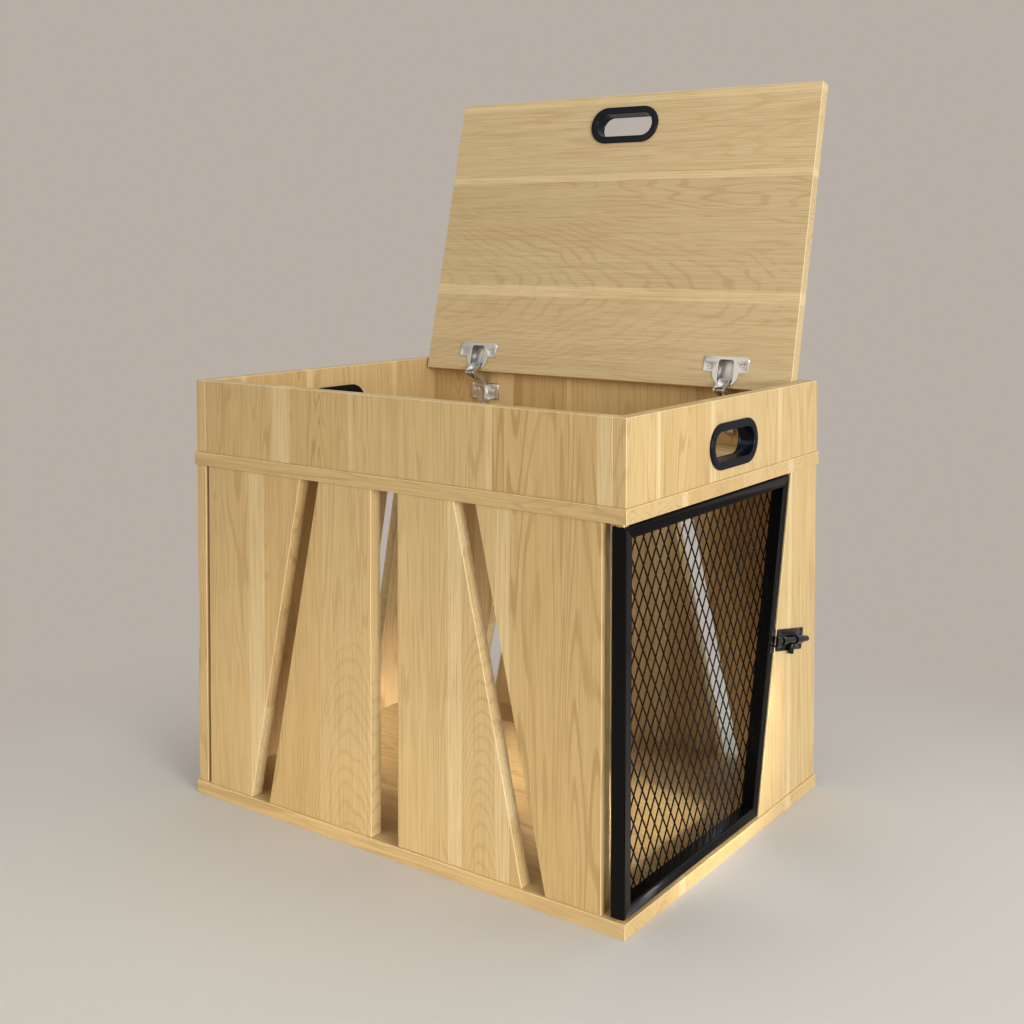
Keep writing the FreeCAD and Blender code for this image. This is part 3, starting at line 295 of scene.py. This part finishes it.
def oak(name, across, grain, through, middle, seams, start=0.0, arch=PLAIN_PRINT, depth=1.0):
    """Printed oak planks, with a painted highlight on the arrises: across the planks, along the grain
    and through the board.
    """
    shader = Shader(name)
    tones, measure = colours(), sizes()
    dark, pale = tones.oak_dark, tones.oak_strip_and_edge_highlight
    place = shader.place()
    a = shader.math("SUBTRACT", shader.along(place, across), start)
    g = shader.along(place, grain)
    t = shader.along(place, through)
    number, strip = printed_planks(shader, a, seams)
    tone = shader.node("ShaderNodeTexWhiteNoise", noise_dimensions="1D")
    shader.feed(tone.inputs["W"], number)
    plank_tone = tone.outputs["Value"]
    spot = (a, shader.math("ADD", g, shader.scaled(plank_tone, PLANK_SHIFT)), t)

    swirl = shader.stretched(spot, SWIRL_CELLS, detail=2.0, roughness=0.45, distortion=0.35)
    wobble = shader.stretched(spot, WOBBLE_CELLS, detail=2.0)
    arches, arched = arched_rings(shader, a, g, wobble, arch)
    straight = shader.wave(swirl, STRAIGHT_RINGS)
    rings = shader.math("ADD", shader.math("MULTIPLY", straight, shader.rest_of(arched)),
                        shader.math("MULTIPLY", arches, arched))
    fading = shader.span(shader.stretched(spot, FADING_CELLS, detail=1.0), 0.30, 0.62)
    least = shader.scaled(arched, ARCH_STRENGTH)
    ring_share = shader.scaled(shader.span(rings, 0.35, 1.0), measure.figure * depth)
    ring_share = shader.math("MULTIPLY", ring_share, shader.math("MAXIMUM", fading, least))

    fibre = shader.stretched(spot, FIBRE_CELLS, detail=3.0, roughness=0.62)
    dash = shader.stretched(spot, DASH_CELLS, detail=1.0)
    streak = shader.stretched(spot, STREAK_CELLS, detail=2.0)
    broad = shader.stretched(spot, BROAD_CELLS, detail=2.0)

    # Each layer: how much of it shows, and its colour.
    layers = (
        (shader.scaled(shader.span(broad, 0.30, 0.72), 0.18), dark),
        (shader.scaled(shader.span(streak, 0.35, 0.68), 0.14), dark),
        (ring_share, dark),
        (shader.scaled(plank_tone, 0.34), pale),
        (shader.scaled(strip, 0.78), pale),
        (shader.scaled(shader.span(fibre, 0.40, 0.72), measure.fibre), dark),
        (shader.scaled(shader.span(dash, 0.56, 0.68), 0.28), tinted(dark, 0.80)),
        # Painted highlight: a paler tone on the rounded edges stands in for light catching them.
        (shader.scaled(shader.arris(), EDGE_HIGHLIGHT_SHARE), tinted(pale, 1.12)),
    )
    body = middle
    for amount, layer in layers:
        body = shader.mix(amount, body, layer)
    shader.feed(shader.surface.inputs["Base Color"], body)
    shader.surface.inputs["Roughness"].default_value = 0.48
    shader.surface.inputs["Specular IOR Level"].default_value = 0.38
    bump = shader.node("ShaderNodeBump")
    bump.inputs["Strength"].default_value = 0.07
    bump.inputs["Distance"].default_value = 0.0004
    shader.feed(bump.inputs["Height"], fibre)
    shader.feed(shader.surface.inputs["Normal"], bump.outputs["Normal"])
    return shader.material


def plain(name, base, roughness, metallic=0.0, specular=0.5):
    shader = Shader(name)
    surface = shader.surface
    surface.inputs["Base Color"].default_value = full(base)
    surface.inputs["Metallic"].default_value = metallic
    surface.inputs["Roughness"].default_value = roughness
    surface.inputs["Specular IOR Level"].default_value = specular
    return shader.material


# ---- pieces -----------------------------------------------------------------
def body_of(node):
    for body, names in frame["record"]["behaviour"]["bodies"].items():
        if node in names:
            return body
    raise RuntimeError("no body holds %s" % node)


def coat_node(node, material):
    data = NODES[node].data
    data.materials.clear()
    data.materials.append(material)


def new_piece(name, mesh, material, node):
    """Turns a bmesh into a piece that stands for a node and rides with it."""
    data = bpy.data.meshes.new(name)
    mesh.to_mesh(data)
    mesh.free()
    data.materials.append(material)
    made = bpy.data.objects.new(name, data)
    bpy.context.scene.collection.objects.link(made)
    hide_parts(node)
    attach(made, body_of(node))
    return made


def smoothed(node, material, sharp=32.0):
    """The node's own shape with merged corners and smooth rounds."""
    mesh = bmesh.new()
    mesh.from_mesh(NODES[node].data)
    bmesh.ops.remove_doubles(mesh, verts=mesh.verts, dist=2e-6)
    bmesh.ops.dissolve_degenerate(mesh, dist=1e-7, edges=mesh.edges)
    for face in mesh.faces:
        face.smooth = True
        face.material_index = 0
    made = new_piece(node + "_finished", mesh, material, node)
    made.data.set_sharp_from_angle(angle=math.radians(sharp))
    return made


# ---- operators --------------------------------------------------------------
class CRATE_OT_boards(bpy.types.Operator):
    """Gives every board its printed oak, with the grain along the board"""
    bl_idname = "crate.boards"
    bl_label = "Finish the boards"

    def execute(self, context):
        tone = colours().oak
        for side in ("front", "rear"):
            for number in (1, 2, 3, 4):
                node = "%s_slat_%d" % (side, number)
                arch = SLAT_ARCHES.get(node, PLAIN_PRINT)
                coat_node(node, oak("oak_" + node, X, Z, Y, tone, SLAT_SEAMS, arch=arch))
        for node in ("left_end_front_panel", "left_end_rear_panel", "right_end_panel"):
            coat_node(node, oak("oak_" + node, Y, Z, X, tone, END_SEAMS, start=END_START))
        for node in ("tray_front_board", "tray_rear_board"):
            coat_node(node, oak("oak_" + node, X, Z, Y, tone, TRAY_SEAMS))
        for node in ("tray_left_board", "tray_right_board"):
            coat_node(node, oak("oak_" + node, Y, Z, X, tone, END_SEAMS))
        for node in ("base_board", "deck_board"):
            coat_node(node, oak("oak_" + node, Y, X, Z, tone, FLAT_SEAMS))
        lid = oak("oak_lid_board", LID_ALONG, X, LID_THROUGH, colours().lid_oak, LID_SEAMS,
                  start=LID_EDGE, arch=LID_ARCH, depth=LID_FIGURE)
        coat_node("lid_board", lid)
        return {"FINISHED"}


class CRATE_OT_grips(bpy.types.Operator):
    """Glossy black plastic for the grips in the hand holes"""
    bl_idname = "crate.grips"
    bl_label = "Finish the hand grips"

    def execute(self, context):
        material = plain("grip_plastic", colours().plastic, 0.24, specular=0.16)
        for node in GRIPS:
            smoothed(node, material)
        return {"FINISHED"}


class CRATE_OT_door(bpy.types.Operator):
    """Powder-coated tubes and the expanded mesh between them"""
    bl_idname = "crate.door"
    bl_label = "Finish the door"

    def execute(self, context):
        coat = plain("powder_coat", colours().coat, 0.22, specular=0.10)
        for node in FRAME_TUBES:
            smoothed(node, coat)
        build_mesh(coat)
        return {"FINISHED"}


class CRATE_OT_slide_bolt(bpy.types.Operator):
    """Glossy black enamel for the slide bolt and its keeper"""
    bl_idname = "crate.slide_bolt"
    bl_label = "Finish the slide bolt"

    def execute(self, context):
        enamel = plain("bolt_enamel", colours().coat, 0.13, specular=0.35)
        for node in BOLT_PIECES:
            smoothed(node, enamel)
        return {"FINISHED"}


class CRATE_OT_hinges(bpy.types.Operator):
    """Satin nickel for the lid's hinges and their screws"""
    bl_idname = "crate.hinges"
    bl_label = "Finish the hinges"

    def execute(self, context):
        nickel = plain("satin_nickel", colours().nickel, 0.42, metallic=1.0)
        for node in HINGE_PIECES + HINGE_SMALL:
            smoothed(node, nickel)
        return {"FINISHED"}


class CRATE_OT_fasteners(bpy.types.Operator):
    """Hidden screws and dowels, and the pivots of the door"""
    bl_idname = "crate.fasteners"
    bl_label = "Finish the fasteners"

    def execute(self, context):
        zinc = plain("zinc", (0.52, 0.52, 0.53), 0.35, metallic=1.0)
        beech = plain("beech", (0.62, 0.42, 0.22), 0.6)
        brass = plain("pivot_brass", colours().brass, 0.3, metallic=1.0)
        for node in ("base_screws", "deck_screws", "door_pivot_pins"):
            coat_node(node, zinc)
        for node in ("tray_dowels", "corner_dowels"):
            coat_node(node, beech)
        for node in ("pivot_bushes", "pivot_washers"):
            smoothed(node, brass)
        return {"FINISHED"}


STRAND_STAGGER = 0.00012                 # the two families of strands lie this far off the middle
STRAND_SPARE = 0.02                      # extra length of a strand before it is cut to the outline


def mesh_outline():
    """Corners of the mesh in the YZ plane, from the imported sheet, and its X span."""
    low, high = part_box("door_mesh")
    corners = [vertex.co for vertex in NODES["door_mesh"].data.vertices]
    slack = 1e-4                         # a corner this near the end counts as on it
    foot = max(corner.y for corner in corners if corner.z < low.z + slack)
    head = max(corner.y for corner in corners if corner.z > high.z - slack)
    outline = [(low.y, low.z), (foot, low.z), (head, high.z), (low.y, high.z)]
    return outline, low.x, high.x


def strand_lines(outline):
    """Middle points of every strand, one family leaning each way."""
    measure = sizes()
    left, right = outline[0][0], outline[2][0]
    low, high = outline[0][1], outline[2][1]
    middle = (low + high) / 2
    lean = measure.mesh_level / measure.mesh_upright
    reach = (high - low) / 2 * lean
    count = int((right - left + 2 * reach) / measure.mesh_level) + 1
    for number in range(count):
        yield left - reach + number * measure.mesh_level, middle


def clip_to(mesh, outline):
    """Cuts the mesh off along every side of the outline and closes the cuts."""
    for (y0, z0), (y1, z1) in zip(outline, outline[1:] + outline[:1]):
        outward = Vector((0, z1 - z0, -(y1 - y0))).normalized()
        parts = list(mesh.verts) + list(mesh.edges) + list(mesh.faces)
        cut = bmesh.ops.bisect_plane(
            mesh, geom=parts, dist=1e-7, plane_co=(0, y0, z0), plane_no=outward, clear_outer=True)
        rim = [item for item in cut["geom_cut"] if isinstance(item, bmesh.types.BMEdge)]
        if rim:
            bmesh.ops.edgenet_fill(mesh, edges=rim)


def build_mesh(material):
    """Expanded metal: two families of strands that cross in diamonds."""
    measure = sizes()
    outline, back, front = mesh_outline()
    tall = outline[2][1] - outline[0][1]
    lean = math.atan(measure.mesh_level / measure.mesh_upright)
    strand_length = tall / math.cos(lean) + STRAND_SPARE
    box_size = (measure.strand_thick, measure.strand, strand_length)
    mesh = bmesh.new()
    for side in (-1, 1):
        depth = (back + front) / 2 + side * STRAND_STAGGER
        leaning = Matrix.Rotation(-side * lean, 3, "X")
        for y, z in strand_lines(outline):
            made = bmesh.ops.create_cube(mesh, size=1.0)["verts"]
            bmesh.ops.scale(mesh, verts=made, vec=box_size)
            bmesh.ops.rotate(mesh, verts=made, cent=(0, 0, 0), matrix=leaning)
            bmesh.ops.translate(mesh, verts=made, vec=(depth, y, z))
    clip_to(mesh, outline)
    bmesh.ops.recalc_face_normals(mesh, faces=mesh.faces)
    return new_piece("expanded_mesh", mesh, material, "door_mesh")


# ---- stage ------------------------------------------------------------------
CAMERA_AT = (0.9411, -1.2128, 0.6445)
CAMERA_AZIMUTH = 33.394
CAMERA_DOWN = 2.315
CAMERA_ROLL = 0.234
CAMERA_LENS = 45.96
CAMERA_SHIFT = (-0.0957, -0.2070)
FLOOR_MIDDLE = (0.25, -0.32, 0.0)
FLOOR_NEAR = 0.60                        # lit like a matt floor up to here from its middle
FLOOR_FAR = 1.10                         # the backdrop's own colour from here on
WORLD_LIGHT = (0.88, 0.98, 1.0)
WORLD_STRENGTH = 0.52
# Name, place, diameter, watts, tint, what it points at and spread in degrees.
LAMPS = (
    ("key", (2.6, 1.0, 0.9), 1.2, 10.0, (0.80, 0.87, 1.0), (0, 0, 0.25), 180),
    ("side", (2.9, -1.2, 0.8), 1.3, 96.0, (0.88, 0.93, 0.98), (0, 0, 0.3), 180),
    ("fill", (-0.9, -3.0, 1.9), 2.4, 20.0, (1.0, 0.93, 0.80), (0, 0, 0.35), 180),
    ("low", (-0.1, -2.6, 0.12), 0.4, 0.6, (1.0, 0.95, 0.80), (-0.05, -0.2, -0.12), 26),
    ("over", (0.2, 0.3, 3.0), 2.0, 19.0, (1.0, 1.0, 1.0), (0, 0, 0.35), 180),
    ("doorway", (1.9, -0.22, 0.66), 0.16, 0.50, (1.0, 0.97, 0.90), (0.0, 0.0, 0.03), 8),
)


def place_camera():
    data = bpy.data.cameras.new("camera")
    data.lens = CAMERA_LENS
    data.sensor_width = 36.0
    data.shift_x, data.shift_y = CAMERA_SHIFT
    data.clip_end = 100
    camera = bpy.data.objects.new("camera", data)
    bpy.context.scene.collection.objects.link(camera)
    a, e, roll = (math.radians(v) for v in (CAMERA_AZIMUTH, CAMERA_DOWN, CAMERA_ROLL))
    back = Vector((math.sin(a) * math.cos(e), -math.cos(a) * math.cos(e), math.sin(e)))
    right = (-back).cross(Vector((0, 0, 1))).normalized()
    up = right.cross(-back)
    turned = math.cos(roll) * right + math.sin(roll) * up
    risen = -math.sin(roll) * right + math.cos(roll) * up
    matrix = Matrix((turned, risen, back)).transposed().to_4x4()
    matrix.translation = Vector(CAMERA_AT)
    camera.matrix_world = matrix
    bpy.context.scene.camera = camera


def lamp(name, at, size, power, tint, aim, spread):
    data = bpy.data.lights.new(name, "AREA")
    data.shape = "DISK"
    data.size = size
    data.energy = power
    data.color = tint
    data.spread = math.radians(spread)
    made = bpy.data.objects.new(name, data)
    made.location = at
    towards = Vector(aim) - Vector(at)
    made.rotation_euler = towards.to_track_quat("-Z", "Y").to_euler()
    bpy.context.scene.collection.objects.link(made)


def floor_material():
    """Matt near the table, and the backdrop's own glow further off."""
    shader = Shader("floor")
    distance = shader.node("ShaderNodeVectorMath", operation="DISTANCE")
    shader.feed(distance.inputs[0], shader.place())
    distance.inputs[1].default_value = FLOOR_MIDDLE
    far = shader.span(distance.outputs["Value"], FLOOR_NEAR, FLOOR_FAR)
    shader.surface.inputs["Base Color"].default_value = full(colours().floor_near)
    shader.surface.inputs["Roughness"].default_value = 0.9
    shader.surface.inputs["Specular IOR Level"].default_value = 0.1
    glow = shader.node("ShaderNodeEmission")
    glow.inputs["Color"].default_value = full(colours().backdrop)
    both = shader.node("ShaderNodeMixShader")
    shader.feed(both.inputs[0], far)
    shader.feed(both.inputs[1], shader.surface.outputs[0])
    shader.feed(both.inputs[2], glow.outputs[0])
    shader.feed(shader.tree.nodes["Material Output"].inputs["Surface"], both.outputs[0])
    return shader.material


def studio_world():
    """The backdrop's colour to the camera, soft white light to everything else."""
    world = bpy.data.worlds.new("studio")
    world.use_nodes = True
    tree = world.node_tree
    light = tree.nodes["Background"]
    light.inputs["Color"].default_value = full(WORLD_LIGHT)
    light.inputs["Strength"].default_value = WORLD_STRENGTH
    seen = tree.nodes.new("ShaderNodeBackground")
    seen.inputs["Color"].default_value = full(colours().backdrop)
    ray = tree.nodes.new("ShaderNodeLightPath")
    both = tree.nodes.new("ShaderNodeMixShader")
    tree.links.new(ray.outputs["Is Camera Ray"], both.inputs[0])
    tree.links.new(light.outputs[0], both.inputs[1])
    tree.links.new(seen.outputs[0], both.inputs[2])
    tree.links.new(both.outputs[0], tree.nodes["World Output"].inputs["Surface"])
    return world


class CRATE_OT_stage(bpy.types.Operator):
    """Pale floor, soft studio lamps and the camera"""
    bl_idname = "crate.stage"
    bl_label = "Set the stage"

    def execute(self, context):
        mesh = bmesh.new()
        bmesh.ops.create_grid(mesh, x_segments=1, y_segments=1, size=40.0)
        data = bpy.data.meshes.new("floor")
        mesh.to_mesh(data)
        mesh.free()
        data.materials.append(floor_material())
        ground = bpy.data.objects.new("floor", data)
        context.scene.collection.objects.link(ground)
        context.scene.world = studio_world()
        for values in LAMPS:
            lamp(*values)
        place_camera()
        context.scene.view_settings.view_transform = "Standard"
        return {"FINISHED"}


class CRATE_PT_panel(bpy.types.Panel):
    """Lists the steps in the sidebar"""
    bl_idname = "CRATE_PT_panel"
    bl_label = "Dog crate end table"
    bl_space_type = "VIEW_3D"
    bl_region_type = "UI"
    bl_category = "Crate"

    def draw(self, context):
        for group in (context.scene.crate_colours, context.scene.crate_sizes):
            for name in group.bl_rna.properties.keys():
                if name not in ("rna_type", "name"):
                    self.layout.prop(group, name)
        for step in STEPS:
            self.layout.operator(step.bl_idname)


STEPS = (CRATE_OT_boards, CRATE_OT_grips, CRATE_OT_door, CRATE_OT_slide_bolt, CRATE_OT_hinges,
         CRATE_OT_fasteners, CRATE_OT_stage)
CLASSES = (CrateColours, CrateSizes, *STEPS, CRATE_PT_panel)


def register():
    for entry in CLASSES:
        bpy.utils.register_class(entry)
    bpy.types.Scene.crate_colours = bpy.props.PointerProperty(type=CrateColours)
    bpy.types.Scene.crate_sizes = bpy.props.PointerProperty(type=CrateSizes)


def unregister():
    del bpy.types.Scene.crate_sizes
    del bpy.types.Scene.crate_colours
    for entry in reversed(CLASSES):
        bpy.utils.unregister_class(entry)


def main():
    register()
    bpy.ops.crate.boards()
    bpy.ops.crate.grips()
    bpy.ops.crate.door()
    bpy.ops.crate.slide_bolt()
    bpy.ops.crate.hinges()
    bpy.ops.crate.fasteners()
    bpy.ops.crate.stage()


if __name__ == "__main__":
    main()
